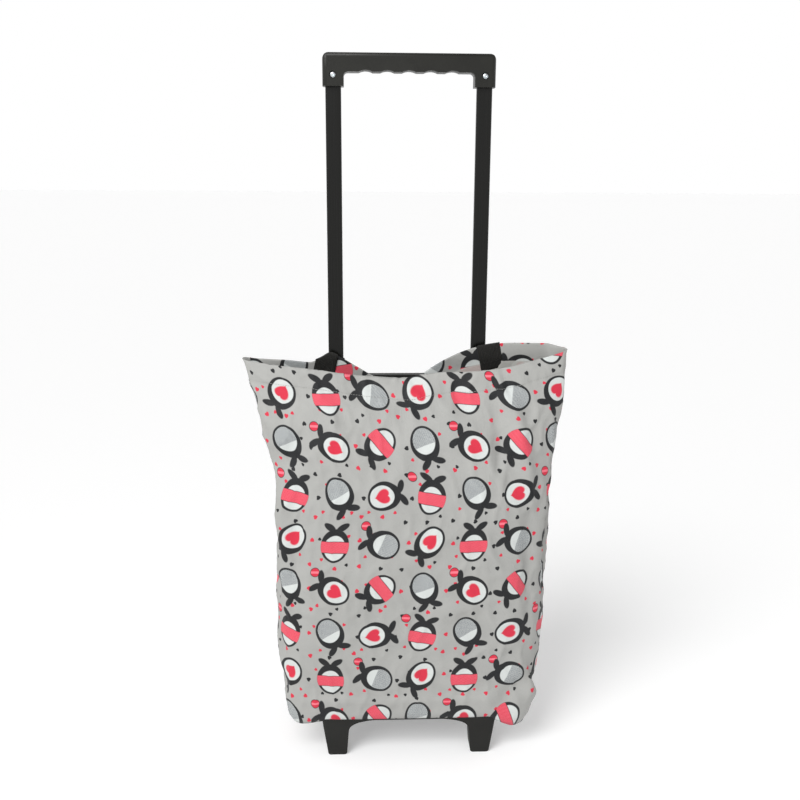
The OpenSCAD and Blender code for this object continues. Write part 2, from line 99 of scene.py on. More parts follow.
class Shader:
    """Short ways to add and join the nodes of one material."""

    def __init__(self, name, **surface):
        self.material = bpy.data.materials.new(name)
        self.material.use_nodes = True
        self.tree = self.material.node_tree
        self.surface = self.tree.nodes["Principled BSDF"]
        for socket, value in surface.items():
            self.surface.inputs[socket.replace("_", " ")].default_value = value

    def add(self, kind, inputs=(), output=0, **settings):
        node = adjust(self.tree.nodes.new("ShaderNode" + kind), **settings)
        pairs = inputs.items() if isinstance(inputs, dict) else enumerate(inputs)
        for key, value in pairs:
            if isinstance(value, bpy.types.NodeSocket):
                self.tree.links.new(value, node.inputs[key])
            elif value is not None:
                node.inputs[key].default_value = value
        return node.outputs[output]

    def math(self, operation, a, b=None):
        return self.add("Math", (a, b), operation=operation)

    def times(self, a, b):
        return self.math("MULTIPLY", a, b)

    def plus(self, a, b):
        return self.math("ADD", a, b)

    def minus(self, a, b):
        return self.math("SUBTRACT", a, b)

    def size(self, a):
        return self.math("ABSOLUTE", a)

    def vector(self, operation, a, b=None, output=0):
        return self.add("VectorMath", (a, b), output, operation=operation)

    def xyz(self, vector):
        node = self.tree.nodes.new("ShaderNodeSeparateXYZ")
        self.tree.links.new(vector, node.inputs[0])
        return node.outputs

    def combine(self, x, y, z=0.0):
        return self.add("CombineXYZ", (x, y, z))

    def ramp(self, value, low, high, out_low=0.0, out_high=1.0):
        """value from low..high onto out_low..out_high, held at the ends."""
        return self.add("MapRange", {"Value": value, "From Min": low, "From Max": high,
                                     "To Min": out_low, "To Max": out_high})

    def mix(self, factor, a, b):
        """Colour a where factor is 0 and b where it is 1."""
        node = self.tree.nodes.new("ShaderNodeMix")
        node.data_type = "RGBA"
        for key, value in ((0, factor), (6, a), (7, b)):
            if isinstance(value, bpy.types.NodeSocket):
                self.tree.links.new(value, node.inputs[key])
            else:
                node.inputs[key].default_value = value
        return node.outputs[2]

    def noise(self, vector, scale, detail=2.0, roughness=0.5):
        return self.add("TexNoise", {"Vector": vector, "Scale": scale, "Detail": detail,
                                     "Roughness": roughness})

    def object_space(self):
        return self.add("TexCoord", output=3)

    def flat_space(self):
        """The cloth's own flat coordinates, in metres."""
        return self.add("UVMap", uv_map="flat")

    def finish(self, colour=None, roughness=None, bumps=()):
        """Joins the colour, the roughness and a chain of (height, depth in metres) bumps."""
        links = self.tree.links
        if colour is not None:
            links.new(colour, self.surface.inputs["Base Color"])
        if roughness is not None:
            links.new(roughness, self.surface.inputs["Roughness"])
        normal = None
        for height, depth in bumps:
            bump = {"Height": height, "Distance": depth, "Strength": 1.0}
            if normal is not None:
                bump["Normal"] = normal
            normal = self.add("Bump", bump)
        if normal is not None:
            links.new(normal, self.surface.inputs["Normal"])
        return self.material


def shade(colour, factor, lift=0.0):
    return (*(min(1.0, factor * c + lift) for c in colour[:3]), 1.0)


def srgb(red, green, blue):
    """A screen colour from 0 to 255 as the linear colour that shaders use."""
    linear = []
    for value in (red, green, blue):
        value /= 255
        linear.append(value / 12.92 if value <= 0.04045 else ((value + 0.055) / 1.055) ** 2.4)
    return (*linear, 1.0)


# ---------- Hard materials ----------

def worn_edges(s, radius=0.8):
    """1 along edges, where handling rubs a surface, broken up by noise. The radius is in mm."""
    rounded = s.add("Bevel", {"Radius": radius * MM}, samples=4)
    facing = s.vector("DOT_PRODUCT", rounded, s.add("NewGeometry", output=1), output=1)
    edge = s.ramp(facing, 0.985, 0.90)
    patchy = s.ramp(s.noise(s.object_space(), 160.0, 3.0), 0.36, 0.62)
    return s.times(edge, patchy)


def moulded(name, tone, rough=0.45, grain=0.05, gloss=0.3):
    """Moulded plastic: fine pebbled grain, a mottled sheen, scuffed edges and a little dust."""
    s = Shader(name, Specular_IOR_Level=gloss)
    place = s.object_space()
    mottle = s.noise(place, 38.0, 4.0)
    colour = s.mix(s.ramp(mottle, 0.3, 0.7), shade(tone, 0.86), shade(tone, 1.12))
    colour = s.mix(s.times(worn_edges(s), 0.35), colour, shade(tone, 2.6, 0.012))
    pebbles = s.add("TexVoronoi", {"Vector": place, "Scale": 1500.0})
    smears = s.noise(place, 9.0, 3.0, 0.6)
    roughness = s.ramp(smears, 0.35, 0.68, rough - 0.07, rough + 0.1)
    return s.finish(colour, roughness, [(pebbles, grain * MM), (mottle, 0.12 * MM)])


def painted_tube(name):
    """Satin black paint over steel, with faint lengthwise rub marks from the bushes."""
    s = Shader(name, Specular_IOR_Level=0.24)
    place = s.object_space()
    streaks = s.noise(s.vector("MULTIPLY", place, (900.0, 900.0, 6.0)), 1.0, 3.0)
    colour = s.mix(s.ramp(streaks, 0.62, 0.78, 0.0, 0.5), srgb(14, 14, 12), srgb(28, 27, 25))
    colour = s.mix(s.times(worn_edges(s, 0.9), 0.5), colour, srgb(74, 72, 68))
    roughness = s.ramp(streaks, 0.3, 0.75, 0.2, 0.36)
    peel = s.noise(place, 420.0, 2.0)
    return s.finish(colour, roughness, [(peel, 0.05 * MM), (streaks, 0.015 * MM)])


def plated(name, tone, rough):
    """Zinc plate or spring steel: a faint spangle, fine scratches and dull spots."""
    s = Shader(name, Metallic=1.0)
    place = s.object_space()
    spangle = s.add("TexVoronoi", {"Vector": place, "Scale": 700.0}, output=1)
    dull = s.noise(place, 260.0, 4.0)
    colour = s.mix(s.ramp(dull, 0.35, 0.7), tone, shade(tone, 0.74))
    colour = s.mix(0.06, colour, spangle)
    roughness = s.ramp(dull, 0.3, 0.7, rough - 0.06, rough + 0.16)
    return s.finish(colour, roughness, [(s.noise(place, 1500.0, 3.0), 0.02 * MM)])


def rubber(name):
    """Soft tyre: matt, dusty in the grooves, greyed where it rolls."""
    s = Shader(name, Specular_IOR_Level=0.25)
    place = s.object_space()
    dust = s.noise(place, 70.0, 5.0, 0.65)
    colour = s.mix(s.ramp(dust, 0.4, 0.72), srgb(30, 30, 30), srgb(52, 51, 49))
    colour = s.mix(s.times(worn_edges(s), 0.4), colour, srgb(84, 83, 80))
    return s.finish(colour, s.ramp(dust, 0.3, 0.7, 0.72, 0.9),
                    [(s.noise(place, 900.0, 4.0), 0.08 * MM), (dust, 0.15 * MM)])


# ---------- Cloth materials ----------

CHARCOAL = srgb(30, 31, 33)
WHITE = srgb(200, 204, 202)
CORAL = srgb(204, 46, 68)
ROSE = srgb(232, 116, 130)
GREY = srgb(162, 162, 159)
KNIT = srgb(72, 75, 84)

COLUMN = 61.2  # pitch of the motifs across the cloth, in mm
ROW = 62.4  # and up it
FIRST = (50.31, 50.466)  # puts a motif where the cloth starts; whole numbers keep floor() positive
MOTIF = 1.22  # how much larger the motifs are than they are drawn below


class Print:
    """Paints flat shapes, in mm round the middle of one motif, over a colour."""

    def __init__(self, shader, ground):
        self.s = shader
        self.colour = ground

    def ellipse(self, place, centre, radii, turn=0.0):
        """1 inside an ellipse turned by turn degrees, with a slightly soft edge."""
        s = self.s
        p = s.vector("SUBTRACT", place, (centre[0], centre[1], 0.0))
        if turn:
            p = s.add("VectorRotate", {"Vector": p, "Angle": -math.radians(turn)}, rotation_type="Z_AXIS")
        p = s.vector("DIVIDE", p, (radii[0], radii[1], 1.0))
        reach = s.vector("LENGTH", p, output=1)
        soft = 0.3 / min(radii)
        return s.ramp(reach, 1.0 - soft, 1.0 + soft, 1.0, 0.0)

    def heart(self, place, size):
        """1 inside an upright heart, size mm from its middle to its side."""
        s = self.s
        x, y = s.xyz(s.vector("DIVIDE", place, (size, size, 1.0)))[:2]
        x = s.size(x)
        y = s.minus(s.times(y, 1.05), s.times(s.math("SQRT", x), 0.62))
        return s.ramp(s.vector("LENGTH", s.combine(x, y), output=1), 0.9, 1.1, 1.0, 0.0)

    def any(self, first, *others):
        for other in others:
            first = self.s.math("MAXIMUM", first, other)
        return first

    def both(self, a, b):
        return self.s.times(a, b)

    def paint(self, mask, colour):
        self.colour = self.s.mix(mask, self.colour, colour)


def cell_table(s, index, values):
    """The value that belongs to the cell with this index, from one value a cell, 0 to 1."""
    node = s.tree.nodes.new("ShaderNodeValToRGB")
    node.color_ramp.interpolation = "CONSTANT"
    stops = node.color_ramp.elements
    for i, value in enumerate(values):
        stop = stops[i] if i < len(stops) else stops.new(i / len(values))
        stop.position = i / len(values)
        stop.color = (value, value, value, 1.0)
    s.tree.links.new(s.math("DIVIDE", s.plus(index, 0.5), float(len(values))), node.inputs[0])
    return node.outputs[0]


# One entry for each of the nine motifs of the repeat, from the lowest row up
KINDS = ("band", "ribs", "heart", "ribs", "heart", "band", "heart", "band", "ribs")
BALLS = (0, 1, 0, 0, 0, 1, 1, 0, 0)
TILT = 70  # degrees that each motif is turned from the one before it


def repeat_print(s, flat, ground):
    """A generic print: leafy ovals with bands, ribs and hearts, plain balls and small hearts."""
    u, v = s.xyz(flat)[:2]
    across = s.plus(s.math("DIVIDE", u, COLUMN * MM), FIRST[0])
    up = s.plus(s.math("DIVIDE", v, ROW * MM), FIRST[1])
    column, row = s.math("FLOOR", across), s.math("FLOOR", up)
    index = s.plus(s.math("MODULO", column, 3.0), s.times(s.math("MODULO", row, 3.0), 3.0))
    place = s.combine(s.times(s.minus(s.math("FRACT", across), 0.5), COLUMN),
                      s.times(s.minus(s.math("FRACT", up), 0.5), ROW))
    local = s.add("VectorRotate", {"Vector": place, "Angle": s.times(index, math.radians(-TILT))},
                  rotation_type="Z_AXIS")
    local = s.vector("DIVIDE", local, (MOTIF, MOTIF, 1.0))
    art = Print(s, ground)
    hearts(art, across, up)
    ball(art, place, index)
    leafy_oval(art, local, index)
    return art.colour


def hearts(art, across, up):
    """Small hearts strewn at random on a grid of half cells; the ovals are printed over some of them."""
    s = art.s
    for k, (shift, size) in enumerate(((0.5, 2.8), (0.93, 2.2))):
        column = s.minus(s.times(across, 2.0), shift)
        row = s.minus(s.times(up, 2.0), shift - 0.12 * k)
        cell = s.combine(s.math("FLOOR", column), s.math("FLOOR", row), float(k))
        chance = s.add("TexWhiteNoise", {"Vector": cell}, output=1)
        red, green, blue = s.xyz(chance)[:3]
        middle = [s.minus(s.times(s.minus(s.math("FRACT", at), 0.5), pitch / 2),
                         s.ramp(luck, 0, 1, -5.5, 5.5))
                  for at, pitch, luck in ((column, COLUMN, red), (row, ROW, green))]
        place = s.add("VectorRotate", {"Vector": s.combine(*middle), "Angle": s.ramp(blue, 0, 1, 0, 6.28)},
                      rotation_type="Z_AXIS")
        art.paint(art.heart(place, size), s.mix(s.math("GREATER_THAN", green, 0.42), CHARCOAL, CORAL))


def ball(art, place, index):
    """A round ball with a pale stripe, in the cell's corner."""
    s = art.s
    here = cell_table(s, index, BALLS)
    middle = s.vector("SUBTRACT", place, (-23.2, 23.8, 0.0))
    stripe = s.ramp(s.size(s.xyz(middle)[1]), 1.7, 1.3)
    art.paint(art.both(art.ellipse(middle, (0, 0), (6.4, 6.4)), here), CHARCOAL)
    art.paint(art.both(art.ellipse(middle, (0, 0), (5.6, 5.6)), here), s.mix(stripe, CORAL, ROSE))


def leafy_oval(art, local, index):
    """A dark oval round a white one, under two leaves, with a band, ribs or a heart on it."""
    s = art.s

    def only(kind):
        return cell_table(s, index, [float(k == kind) for k in KINDS])

    across, up = s.xyz(local)[:2]
    leaves = [art.ellipse(local, (side * 7.0, 18.0), (7.4, 3.4), side * 30) for side in (-1, 1)]
    whole = art.ellipse(local, (0, -2.0), (15.2, 18.4))
    art.paint(art.any(whole, *leaves), CHARCOAL)
    white = art.ellipse(local, (0, -4.6), (11.6, 13.4))
    art.paint(white, WHITE)
    knitting = s.math("SINE", s.times(across, 4.4))
    rows = s.math("SINE", s.times(up, 3.4))
    ribbed = s.ramp(s.times(knitting, rows), -0.25, 0.25)
    # Ribs over the lower part of the oval
    below = s.ramp(up, 0.2, -0.4)
    art.paint(art.both(art.both(white, below), only("ribs")), s.mix(ribbed, KNIT, WHITE))
    # Broad band right across it
    middle = s.size(s.plus(up, 4.0))
    for half, tone in ((6.6, CHARCOAL), (6.0, s.mix(s.times(ribbed, 0.7), CORAL, ROSE))):
        strip = art.both(whole, s.ramp(middle, half + 0.3, half - 0.3))
        art.paint(art.both(strip, only("band")), tone)
    # One heart in its middle
    low = s.vector("SUBTRACT", local, (0.0, -6.0, 0.0))
    art.paint(art.both(art.heart(low, 7.6), only("heart")), CORAL)


def plain_weave(s, flat, pitch):
    """Height of a plain weave, in the cloth's own flat coordinates."""
    u, v = s.xyz(flat)[:2]
    across = s.math("SINE", s.times(u, math.pi / pitch))
    along = s.math("SINE", s.times(v, math.pi / pitch))
    return s.times(s.size(across), s.size(along))


def printed_cloth(name, reverse=False):
    """Printed polyester. Its reverse is pale, and the print only shows through it faintly."""
    s = Shader(name, Specular_IOR_Level=0.18, Sheen_Weight=0.03, Sheen_Roughness=0.5)
    flat = s.flat_space()
    drift = s.noise(flat, 22.0, 3.0)
    ground = s.mix(s.ramp(drift, 0.3, 0.7), shade(GREY, 1.04), shade(GREY, 0.95))
    colour = repeat_print(s, flat, ground)
    if reverse:
        colour = s.mix(0.88, colour, srgb(188, 187, 182))
    threads = s.noise(s.vector("MULTIPLY", flat, (2600.0, 420.0, 1.0)), 1.0, 2.0)
    colour = s.mix(s.ramp(threads, 0.35, 0.7, 0.0, 0.08), colour, srgb(110, 110, 108))
    soft = s.noise(s.vector("MULTIPLY", flat, (9.0, 6.0, 1.0)), 3.2, 4.0, 0.55)
    ridged = s.size(s.minus(s.noise(flat, 26.0, 3.0, 0.6), 0.5))
    crease = s.ramp(ridged, 0.0, 0.035, 1.0, 0.0)
    roughness = s.ramp(soft, 0.3, 0.7, 0.46, 0.62)
    return s.finish(colour, roughness, [(plain_weave(s, flat, 0.42 * MM), 0.04 * MM), (soft, 1.2 * MM),
                                        (crease, 0.12 * MM)])


def webbing(name):
    """Black webbing: lengthwise ribs crossed by a fine twill, with painted shade in the low threads and a
    painted highlight on the high ones, and random flecks of dusty fuzz.
    """
    s = Shader(name, Specular_IOR_Level=0.25, Sheen_Weight=0.1, Sheen_Roughness=0.4)
    flat = s.flat_space()
    u, v = s.xyz(flat)[:2]
    twill = s.math("SINE", s.times(s.plus(s.size(u), v), 2 * math.pi / (1.6 * MM)))
    ribs = s.math("SINE", s.times(u, 2 * math.pi / (1.9 * MM)))
    height = s.plus(s.times(twill, 0.6), ribs)
    fuzz = s.noise(s.vector("MULTIPLY", flat, (1400.0, 1400.0, 1.0)), 1.0, 3.0)
    # Painted shade and highlight: the colour follows the weave's height, dark in the low threads and light
    # on the high ones
    colour = s.mix(s.ramp(height, -1.0, 1.4), srgb(16, 16, 15), srgb(42, 41, 38))
    colour = s.mix(s.ramp(fuzz, 0.55, 0.75, 0.0, 0.3), colour, srgb(72, 71, 67))
    return s.finish(colour, s.ramp(fuzz, 0.3, 0.7, 0.66, 0.84), [(height, 0.14 * MM), (fuzz, 0.1 * MM)])


def thread(name, tone):
    s = Shader(name, Specular_IOR_Level=0.3, Sheen_Weight=0.1)
    twist = s.noise(s.object_space(), 1800.0, 2.0)
    colour = s.mix(s.ramp(twist, 0.35, 0.65), shade(tone, 0.7), tone)
    return s.finish(colour, s.ramp(twist, 0.3, 0.7, 0.5, 0.7), [(twist, 0.05 * MM)])


MATERIALS = {
    "grip_plastic": moulded("grip plastic", srgb(32, 32, 29), 0.36, 0.05, 0.22),
    "tube_paint": painted_tube("tube paint"),
    "black_plastic": moulded("black plastic", srgb(31, 31, 29), 0.5, 0.08, 0.2),
    "zinc": plated("zinc", srgb(206, 212, 216), 0.3),
    "spring_steel": plated("spring steel", srgb(178, 178, 176), 0.36),
    "tyre_rubber": rubber("tyre rubber"),
    "printed_fabric": printed_cloth("printed cloth"),
    "fabric_reverse": printed_cloth("cloth reverse", reverse=True),
    "lining_board": moulded("lining board", srgb(36, 36, 36), 0.62, 0.3, 0.24),
    "webbing": webbing("webbing"),
    "grey_thread": thread("grey thread", srgb(168, 168, 164)),
    "black_thread": thread("black thread", srgb(40, 40, 40)),
}

# Width in mm of the rounding that each moulded or pressed part's edges get
EDGE_ROUNDING = {
    "handle_grip": 1.2, "tube_bridge": 0.6, "chassis": 0.6, "foot_plate": 0.6, "guide_bush_left": 0.4,
    "guide_bush_right": 0.4, "wheel_hub_left": 0.3, "wheel_hub_right": 0.3, "base_board": 0.4,
}


def dress_frame():
    """Every carried-over node takes the material of its slot in the record, and soft edges."""
    for part in frame["record"]["subparts"]:
        name, node = part["node"], NODES[part["node"]]
        if not node.data.materials:
            node.data.materials.append(None)
        for slot in node.material_slots:
            slot.material = MATERIALS[part["material_slot"]]
        if name in EDGE_ROUNDING:
            adjust(node.modifiers.new("weld", "WELD"), merge_threshold=0.001 * MM)
            adjust(node.modifiers.new("rounded edges", "BEVEL"), width=EDGE_ROUNDING[name] * MM, segments=2,
                   limit_method="ANGLE", angle_limit=math.radians(40), harden_normals=True)


# ---------- Meshes ----------

def make_object(name, vertices, faces, materials):
    mesh = bpy.data.meshes.new(name)
    mesh.from_pydata([tuple(map(float, p)) for p in vertices], [], [tuple(map(int, f)) for f in faces])
    mesh.validate()
    mesh.update()
    for material in materials:
        mesh.materials.append(material)
    mesh.polygons.foreach_set("use_smooth", [True] * len(mesh.polygons))
    return put_in_scene(name, mesh)


def apply_modifiers(made):
    """Turns an object's modifiers into plain geometry."""
    graph = bpy.context.evaluated_depsgraph_get()
    done = bpy.data.meshes.new_from_object(made.evaluated_get(graph), preserve_all_data_layers=True,
                                           depsgraph=graph)
    made.modifiers.clear()
    made.data = done


def thicken(made, **settings):
    """Gives a surface the cloth's thickness, on its inner side, with the reverse's material there."""
    thick = made.modifiers.new("thickness", "SOLIDIFY")
    adjust(thick, thickness=CLOTH, offset=-1, material_offset=1, **settings)
    apply_modifiers(made)


def ring_faces(rows, columns, base=0):
    """Quads between closed rows of points."""
    return [(base + j * columns + i, base + j * columns + (i + 1) % columns,
             base + (j + 1) * columns + (i + 1) % columns, base + (j + 1) * columns + i)
            for j in range(rows - 1) for i in range(columns)]


def end_faces(rows, columns, base=0):
    """The two faces that close a tube of rings, facing out of its first and last ring."""
    last = base + (rows - 1) * columns
    return [tuple(range(base, base + columns))[::-1], tuple(range(last, last + columns))]


def travelled(points):
    """Distance along a line of points, from its start to each of them."""
    return np.concatenate([[0], np.cumsum(np.linalg.norm(np.diff(points, axis=0), axis=1))])


# ---------- The bag's shape ----------

def through(at, stops):
    """A smooth curve through (place, value) stops, with no overshoot between them."""
    x, y = np.array(stops, float).T
    slope = np.diff(y) / np.diff(x)
    tangent = np.zeros(len(x))
    product = slope[1:] * slope[:-1]
    tangent[1:-1] = np.where(product > 0, 2 * product / (slope[1:] + slope[:-1] + 1e-12), 0.0)
    tangent[0], tangent[-1] = slope[0], slope[-1]
    at = np.clip(np.asarray(at, float), x[0], x[-1])
    k = np.clip(np.searchsorted(x, at, side="right") - 1, 0, len(x) - 2)
    h = x[k + 1] - x[k]
    t = (at - x[k]) / h
    return ((2 * t**3 - 3 * t**2 + 1) * y[k] + (t**3 - 2 * t**2 + t) * h * tangent[k]
            + (3 * t**2 - 2 * t**3) * y[k + 1] + (t**3 - t**2) * h * tangent[k + 1])


# Half widths of the bag, left and right, against the share of its height
LEFT = [(0, 0.164), (0.05, 0.168), (0.12, 0.171), (0.26, 0.175), (0.5, 0.177), (0.66, 0.176),
        (0.72, 0.181), (0.77, 0.1905), (0.81, 0.196), (0.86, 0.200), (0.93, 0.210), (1, 0.2205)]
RIGHT = [(0, 0.165), (0.05, 0.171), (0.12, 0.173), (0.26, 0.180), (0.5, 0.187), (0.7, 0.196),
         (0.84, 0.207), (0.93, 0.2115), (1, 0.2135)]
# Distance from the back panel to the front one
DEPTH = [(0, 0.1165), (0.1, 0.121), (0.35, 0.1235), (0.6, 0.114), (0.8, 0.092), (0.92, 0.066), (1, 0.046)]
# How square the outline is, at the front and at the back
FRONT_SQUARE = [(0, 8.0), (0.06, 6.0), (0.3, 4.0), (0.6, 3.0), (0.85, 2.2), (1, 1.9)]
BACK_SQUARE = [(0, 6), (0.5, 5), (1, 3.2)]
# Heights of the rim against x
FRONT_RIM = [(-0.2205, 0.536), (-0.169, 0.531), (-0.123, 0.5265), (-0.080, 0.5195), (-0.040, 0.5150),
             (-0.014, 0.5130), (0.000, 0.5138), (0.020, 0.5180), (0.045, 0.5205), (0.100, 0.525),
             (0.130, 0.529), (0.165, 0.537), (0.2135, 0.549)]
BACK_RIM = [(-0.2205, 0.536), (-0.198, 0.530), (-0.160, 0.527), (-0.132, 0.524), (-0.118, 0.529),
            (-0.104, 0.536), (-0.090, 0.530), (-0.070, 0.518), (-0.046, 0.504), (-0.015, 0.493),
            (0.012, 0.501), (0.026, 0.511), (0.051, 0.527), (0.077, 0.539), (0.098, 0.545),
            (0.140, 0.550), (0.175, 0.550), (0.2135, 0.549)]

GIRTH = 0.885  # of the cloth, all round
CLOTH = 0.7 * MM  # its thickness
HEM = 24 * MM
AROUND = 160  # points round the bag and rows up it, before the drape; both are doubled after it
BODY_ROWS = 62
HEM_ROWS = 5
ROLL = 5 * MM  # radius of the bag's lower edge round its ends
TIGHT_ROLL = 0.8 * MM  # along the front, where it hangs past the deck, and where the foot plate folds
SEAM_START = 8  # the row from which the side seams show


def outline(v, count=720):
    """The bag's outline at height share v, from the middle of the back round by the left."""
    a = np.radians(90 + np.arange(count) * 360 / count)
    c, s = np.cos(a), np.sin(a)
    square = np.where(s > 0, through(v, BACK_SQUARE), through(v, FRONT_SQUARE))
    reach = (np.abs(c) ** square + np.abs(s) ** square) ** (-1 / square)
    half = np.where(c < 0, through(v, LEFT), through(v, RIGHT))
    depth = float(through(v, DEPTH))
    return half * reach * c, BACK_Y - depth / 2 + depth / 2 * reach * s


def doubled(rows):
    """Twice as many points both ways, on the smooth surface through the given ones."""
    around = (9 * (rows + np.roll(rows, -1, 1)) - np.roll(rows, 1, 1) - np.roll(rows, -2, 1)) / 16
    wide = np.empty((rows.shape[0], 2 * rows.shape[1]) + rows.shape[2:])
    wide[:, 0::2], wide[:, 1::2] = rows, around
    between = (wide[:-1] + wide[1:]) / 2
    between[1:-1] = (9 * (wide[1:-2] + wide[2:-1]) - wide[:-3] - wide[3:]) / 16
    tall = np.empty((2 * wide.shape[0] - 1,) + wide.shape[1:])
    tall[0::2], tall[1::2] = wide, between
    return tall


def evenly(x, y, count):
    """count points spread evenly along a closed outline."""
    px, py = np.append(x, x[0]), np.append(y, y[0])
    length = np.concatenate([[0], np.cumsum(np.hypot(np.diff(px), np.diff(py)))])
    share = np.arange(count) / count * length[-1]
    return np.interp(share, length, px), np.interp(share, length, py)


def rim_heights(x, y):
    middle = BACK_Y - DEPTH[-1][1] / 2
    back = np.clip(0.5 + (y - middle) / (6 * MM), 0, 1)
    return through(x, FRONT_RIM) * (1 - back) + through(x, BACK_RIM) * back


def bag_rows():
    """Rows of points up the wall, base first, with a row exactly on the hem's stitching."""
    top = rim_heights(*evenly(*outline(1.0), AROUND))
    seam = top - HEM
    rows = []
    for j in range(BODY_ROWS + HEM_ROWS + 1):
        if j <= BODY_ROWS:
            z = BASE_Z + j / BODY_ROWS * (seam - BASE_Z)
        else:
            z = seam + (j - BODY_ROWS) / HEM_ROWS * HEM
        v = float(((z - BASE_Z) / (top - BASE_Z)).mean())
        x, y = evenly(*outline(v), AROUND)
        rows.append(np.stack([x, y, z], 1))
    return np.array(rows)


# Soft folds in mm: where each starts and ends on the flat cloth (across from the front's middle, then
# up), its width and its height
FOLDS = [
    (128, 455, 150, 300, 9, 3.2), (104, 420, 118, 330, 8, -2.0), (150, 300, 160, 120, 12, -2.2),
    (70, 415, 52, 465, 9, -2.2), (-20, 440, 30, 436, 10, 2.0), (-120, 450, -98, 370, 10, 1.6),
    (-190, 262, -202, 234, 10, -1.6), (-188, 208, -204, 200, 8, 0.9),
    (-150, 390, -185, 345, 10, -3.0), (-196, 330, -186, 220, 12, 2.8),
    (-168, 300, -160, 130, 11, -2.4), (-110, 75, -60, 30, 10, 1.6), (-75, 135, -10, 110, 9, 0.9),
    (145, 75, 185, 20, 10, 3.0), (120, 20, 165, 55, 9, -2.0), (210, 400, 196, 190, 12, -3.4),
    (235, 330, 240, 120, 12, 2.6), (-235, 430, -228, 200, 12, -3.4), (300, 400, 330, 270, 10, -1.6),
    (-300, 410, -335, 260, 10, -1.6), (30, 250, -50, 210, 16, 0.8), (90, 180, 30, 150, 13, 0.9),
]

# Sharper tucks and creases, listed in the same way and added after the drape
CREASES = [
    (124, 470, 120, 425, 3.2, 1.9), (128, 468, 131, 430, 3.0, -1.4), (176, 430, 150, 395, 4.5, 1.6),
    (118, 365, 106, 318, 4.0, 1.5), (112, 372, 98, 330, 3.6, -1.2), (60, 462, 50, 430, 4.0, 1.2),
    (-60, 445, -30, 425, 5.0, 1.0), (-120, 380, -70, 405, 5.0, 1.1),
    (-150, 330, -118, 345, 4.0, -1.0), (-105, 285, -60, 305, 5.0, 0.9),
    (-40, 190, 0, 165, 5.0, 0.8), (85, 255, 110, 225, 4.5, 1.1), (150, 210, 165, 150, 4.0, -1.2),
    (125, 115, 118, 85, 3.6, 1.4), (-130, 110, -95, 80, 4.0, -1.0), (-165, 60, -130, 25, 4.5, 1.4),
    (30, 60, 75, 35, 5.0, 0.8), (165, 75, 190, 30, 4.0, -1.5), (-205, 420, -190, 370, 4.0, 1.8),
    (-215, 250, -200, 200, 4.0, 2.0), (-210, 170, -222, 110, 4.0, -1.6),
    (205, 320, 222, 250, 4.0, 1.8), (215, 150, 205, 90, 4.0, 1.6),
]
FOLD_DEPTH = 3.0  # how many times deeper than listed the folds are made
CREASE_DEPTH = 1.5


def fold_push(u, h, folds):
    """How far the folds push the cloth out at flat place u, h."""
    push = np.zeros(np.broadcast(u, h).shape)
    for *ends, width, height in folds:
        ax, ay, bx, by = (place / 1000 for place in ends)
        dx, dy = bx - ax, by - ay
        along = np.clip(((u - ax) * dx + (h - ay) * dy) / (dx * dx + dy * dy), 0, 1)
        away = np.hypot(u - ax - along * dx, h - ay - along * dy)
        swell = height * MM * (0.35 + 0.65 * np.sin(np.pi * along))
        push += swell * np.exp(-(away / (width * MM)) ** 2)
    return push


def crinkle(u, h):
    """Small ridges all over thin cloth that has been packed flat, from waves in set directions."""
    waves = random.Random(7)
    total = np.zeros(np.broadcast(u, h).shape)
    for _ in range(22):
        length = waves.uniform(24, 85) * MM
        heading = waves.uniform(-0.9, 0.9) + math.pi * waves.choice((0, 0.25))
        phase = waves.uniform(0, 2 * math.pi)
        along = u * math.cos(heading) + h * math.sin(heading)
        total += np.sin(2 * math.pi * along / length + phase) / 3.3
    return (1 - 2 * np.abs(np.tanh(total))) * 1.1 * MM


def facing_out(directions, rows):
    """Unit normals from these directions, all turned away from the bag's middle."""
    normal = unit(directions)
    return normal * np.sign((normal * (rows - rows.mean(1, keepdims=True))).sum(-1).mean())


def outward(rows):
    """Horizontal unit normals of closed rows of points, pointing out of the bag."""
    along = np.roll(rows, -1, 1) - np.roll(rows, 1, 1)
    return facing_out(np.stack([along[..., 1], -along[..., 0], np.zeros(along.shape[:2])], -1), rows)


def at_back(rows, depth):
    """1 on the back panel, 0 from depth in front of it."""
    return eased((rows[..., 1] - BACK_Y) / depth + 1)


BACK_ROOM = 0.9 * MM  # how far the back panel's foot stands back, for the folded plate's rivets


def room_for_deck(rows):
    """1 on the back panel where the foot plate lies against it when folded up."""
    across = eased((0.140 - np.abs(rows[..., 0])) / 0.02)
    return across * eased((0.185 - rows[..., 2]) / 0.03) * at_back(rows, 8 * MM)


def lean_in(z):
    """How far the back panel's top leans forward, clear of the grip when the handle is down."""
    return 2.6 * MM * eased((z - 0.512) / 0.02)


def shaped_wall():
    """The wall before it is draped: its rows, and the flat places of its points."""
    rows = bag_rows()
    flat_u = (np.arange(AROUND) / AROUND - 0.5) * GIRTH
    heights = rows[..., 2] - BASE_Z
    push = FOLD_DEPTH * fold_push(flat_u[None, :], heights, FOLDS)
    # The cloth lies against the tubes at the back, so it only folds inwards there
    push = np.where(rows[..., 1] > BACK_Y - 12 * MM, np.minimum(push, 0) * 0.5, push)
    push *= 1 - room_for_deck(rows)
    rows = rows + outward(rows) * push[..., None]
    rows[..., 1] += BACK_ROOM * room_for_deck(rows)
    rows[..., 1] -= lean_in(rows[..., 2]) * at_back(rows, 10 * MM)
    # The middle of the front rim leans back and in
    lean = np.exp(-(flat_u / 0.075) ** 2)[None, :] * np.clip((heights - 0.415) / 0.045, 0, 1) ** 1.5
    rows[..., 1] += 13 * MM * lean
    # The lower edge rolls under; past the ends of the foot plate it sags a little
    tight = np.maximum(in_front(rows), room_for_deck(rows))
    roll = ROLL * (1 - tight) + TIGHT_ROLL * tight
    corner = np.clip(1 - heights / roll, 0, 1)
    rows -= outward(rows) * (roll * (1 - np.sqrt(1 - corner**2)))[..., None]
    return rows, flat_u, heights


